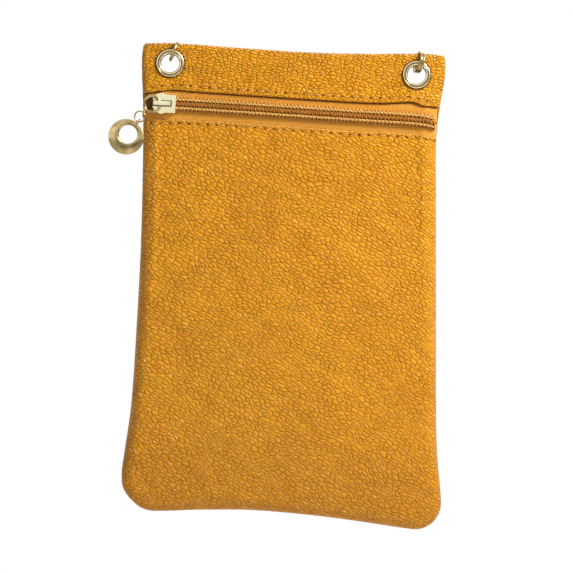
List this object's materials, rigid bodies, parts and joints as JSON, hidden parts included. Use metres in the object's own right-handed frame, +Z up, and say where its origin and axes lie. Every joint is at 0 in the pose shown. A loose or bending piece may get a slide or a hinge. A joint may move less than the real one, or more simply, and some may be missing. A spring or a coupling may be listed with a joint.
{
  "type": "phone pouch",
  "caption": "Flat phone pouch in pebbled leather with a coil zip across its front, eyelets and strap rings in its top corners, and a ring charm on the zip's pull.",
  "frame": {"origin": "midway between the two eyelets, in the seam plane between front and back", "axes": "+Z up, +X to the right seen from the front, -Y towards the front"},
  "size_m": [0.1322, 0.0135, 0.181],
  "materials": {
    "leather": "pebbled, satin",
    "lining": "woven, matte",
    "tape": "woven, matte",
    "coil": "satin nylon",
    "thread": "twisted, matte",
    "gold": "polished"
  },
  "bodies": {
    "pouch": {"back_panel": "leather", "front_panel": "leather", "top_band": "leather", "lining_back": "lining", "lining_front": "lining", "lining_band": "lining", "zipper_tape_upper": "tape", "zipper_coil_upper": "coil", "coil_cord_upper": "thread", "stitch_row_upper": "thread", "eyelet_left": "gold", "eyelet_right": "gold", "eyelet_washer_left": "gold", "eyelet_washer_right": "gold"},
    "lower_lip": {"zipper_tape_lower": "tape", "zipper_coil_lower": "coil", "coil_cord_lower": "thread", "stitch_row_lower": "thread"},
    "slider": {"slider_body": "gold", "slider_bridge": "gold"},
    "pull": {"pull_ring": "gold"},
    "link_upper": {"link_ring_upper": "gold"},
    "link_lower": {"link_ring_lower": "gold"},
    "charm": {"charm_ring": "gold"},
    "strap_left": {"strap_ring_left": "gold"},
    "strap_right": {"strap_ring_right": "gold"}
  },
  "joints": [
    {"name": "zip_slide", "type": "slide", "parent": "pouch", "child": "slider", "axis": [0.9998, 0, -0.0209], "range_m": [0, 0.093], "deforming": ["zipper_coil_upper"]},
    {"name": "lip_gape", "type": "hinge", "parent": "pouch", "child": "lower_lip", "pos_m": [0.05299, 0, -0.01761], "axis": [0, -1, 0], "range_deg": [0, 3.6], "deforming": ["zipper_tape_lower", "zipper_coil_lower", "coil_cord_lower", "stitch_row_lower"]},
    {"name": "pull_swing", "type": "hinge", "parent": "slider", "child": "pull", "pos_m": [-0.04995, -0.0065, -0.016], "axis": [0, 0, 1], "range_deg": [0, 165]},
    {"name": "link_upper_swing", "type": "hinge", "parent": "pull", "child": "link_upper", "pos_m": [-0.05525, -0.0065, -0.0178], "axis": [0, 1, 0], "range_deg": [0, 40]},
    {"name": "link_lower_swing", "type": "hinge", "parent": "link_upper", "child": "link_lower", "pos_m": [-0.05567, -0.0065, -0.01963], "axis": [0, 1, 0], "range_deg": [-40, 0]},
    {"name": "charm_swing", "type": "hinge", "parent": "link_lower", "child": "charm", "pos_m": [-0.05774, -0.0065, -0.02282], "axis": [0, 1, 0], "range_deg": [-38, 2]},
    {"name": "strap_left_swing", "type": "hinge", "parent": "pouch", "child": "strap_left", "pos_m": [-0.04685, -0.0003, 0.0012], "axis": [0, 1, 0], "range_deg": [-41, 1]},
    {"name": "strap_right_swing", "type": "hinge", "parent": "pouch", "child": "strap_right", "pos_m": [0.04685, -0.0003, 0.0012], "axis": [-0.2588, 0.9659, 0], "range_deg": [-21, 0]}
  ],
  "couplings": [
    {"joint": "lip_gape", "follows": "zip_slide", "rad_per_m": 0.6569}
  ]
}
